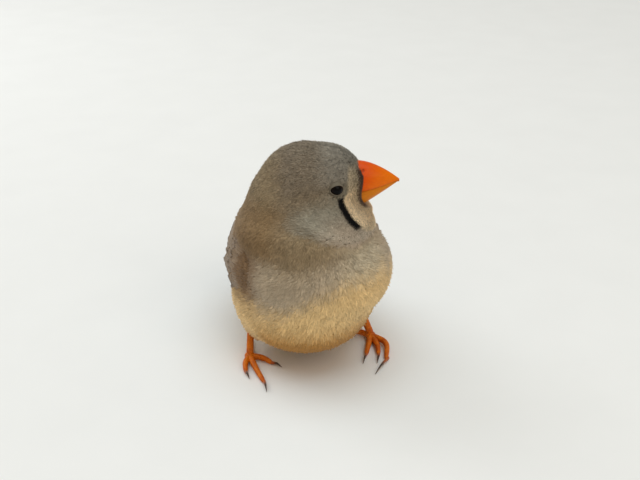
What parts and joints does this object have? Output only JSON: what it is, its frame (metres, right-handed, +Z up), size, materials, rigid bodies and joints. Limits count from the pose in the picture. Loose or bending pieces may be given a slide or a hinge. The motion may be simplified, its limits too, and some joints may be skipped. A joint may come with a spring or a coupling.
{
  "type": "zebra finch figure",
  "caption": "Life-size still figure of an adult female zebra finch, fluffed up and squatting, with its head turned to its left.",
  "frame": {"origin": "on the floor, at the middle of the figure's outer box", "axes": "+Z up, -Y the way the bird's breast faces, +X its left side"},
  "size_m": [0.0402, 0.0818, 0.0565],
  "materials": {
    "plumage_grey": "soft matt feathers",
    "plumage_cream": "soft matt feathers",
    "flight_feather": "smooth vanes",
    "tail_feather": "smooth vanes",
    "bill_red": "waxy horn",
    "bill_orange": "waxy horn",
    "eye": "wet gloss",
    "foot_skin": "scaled skin",
    "claw": "horn"
  },
  "bodies": {
    "root": {"head": "plumage_grey", "left_eye": "eye", "left_hind_claw": "claw", "left_hind_toe": "foot_skin", "left_inner_claw": "claw", "left_inner_toe": "foot_skin", "left_middle_claw": "claw", "left_middle_toe": "foot_skin", "left_outer_claw": "claw", "left_outer_toe": "foot_skin", "left_shank": "foot_skin", "left_thigh": "plumage_cream", "left_wing": "flight_feather", "lower_bill": "bill_orange", "neck": "plumage_grey", "right_eye": "eye", "right_hind_claw": "claw", "right_hind_toe": "foot_skin", "right_inner_claw": "claw", "right_inner_toe": "foot_skin", "right_middle_claw": "claw", "right_middle_toe": "foot_skin", "right_outer_claw": "claw", "right_outer_toe": "foot_skin", "right_shank": "foot_skin", "right_thigh": "plumage_cream", "right_wing": "flight_feather", "tail": "tail_feather", "torso": "plumage_cream", "upper_bill": "bill_red"}
  },
  "joints": []
}
